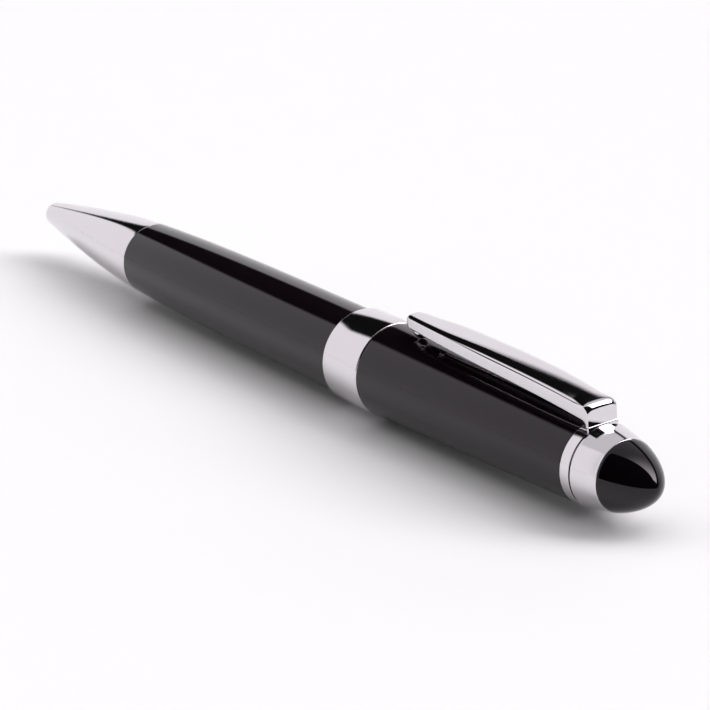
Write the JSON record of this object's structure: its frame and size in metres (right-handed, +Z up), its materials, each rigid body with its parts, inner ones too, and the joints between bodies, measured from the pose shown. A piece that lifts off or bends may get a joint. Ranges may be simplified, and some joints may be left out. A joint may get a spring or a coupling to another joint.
{
  "type": "retractable ballpoint pen",
  "caption": "Twist-action ballpoint pen: chrome nose, band and clip, black lacquered barrels and a black domed end; turning the lower half moves the refill out and in.",
  "frame": {"origin": "on the table, under the middle of the pen: the middle of the bottom of the bounding box", "axes": "+X along the pen from the writing end to the domed rear end, +Z up through the clip, +Y to the left seen from the rear"},
  "size_m": [0.1372, 0.012, 0.0148],
  "materials": {
    "chrome": "polished chrome plate",
    "black_lacquer": "deep gloss black lacquer on metal",
    "black_gloss": "polished black resin",
    "brass": "turned, bare",
    "steel": "drawn, bare",
    "rubber": "matte",
    "dark_plastic": "moulded",
    "white_plastic": "moulded",
    "blue_plastic": "moulded",
    "ink": "wet paste ink"
  },
  "bodies": {
    "upper": {"centre_band": "chrome", "retaining_ring": "steel", "thrust_washer": "white_plastic", "mechanism_housing": "brass", "mechanism_end_cap": "dark_plastic", "upper_barrel": "black_lacquer", "top_plug": "brass", "clip_ring": "chrome", "clip_washer": "chrome", "finial_band": "chrome", "finial_screw": "steel", "finial_dome": "black_gloss"},
    "lower": {"nose_cone": "chrome", "lower_barrel": "black_lacquer", "lower_liner": "dark_plastic", "threaded_connector": "brass", "cam_drum": "steel", "friction_o_ring": "rubber", "return_spring": "steel"},
    "refill": {"refill_tip": "brass", "refill_ball": "steel", "refill_tube": "steel", "ink_column": "ink", "refill_end_plug": "blue_plastic", "plunger": "white_plastic", "follower_pin": "steel"},
    "clip": {"clip": "chrome"}
  },
  "joints": [
    {"name": "twist", "type": "hinge", "parent": "upper", "child": "lower", "pos_m": [0.01175, 0, 0.006], "axis": [-1, 0, 0], "range_deg": [0, 180]},
    {"name": "refill_slide", "type": "slide", "parent": "upper", "child": "refill", "axis": [-1, 0, 0], "range_m": [0, 0.005], "deforming": ["return_spring"]},
    {"name": "clip_flex", "type": "hinge", "parent": "upper", "child": "clip", "pos_m": [0.05937, 0, 0.01105], "axis": [0, 1, 0], "range_deg": [0, 5], "stiffness_Nm_per_rad": 3.3}
  ],
  "couplings": [
    {"joint": "twist", "follows": "refill_slide", "rad_per_m": 628.32}
  ]
}
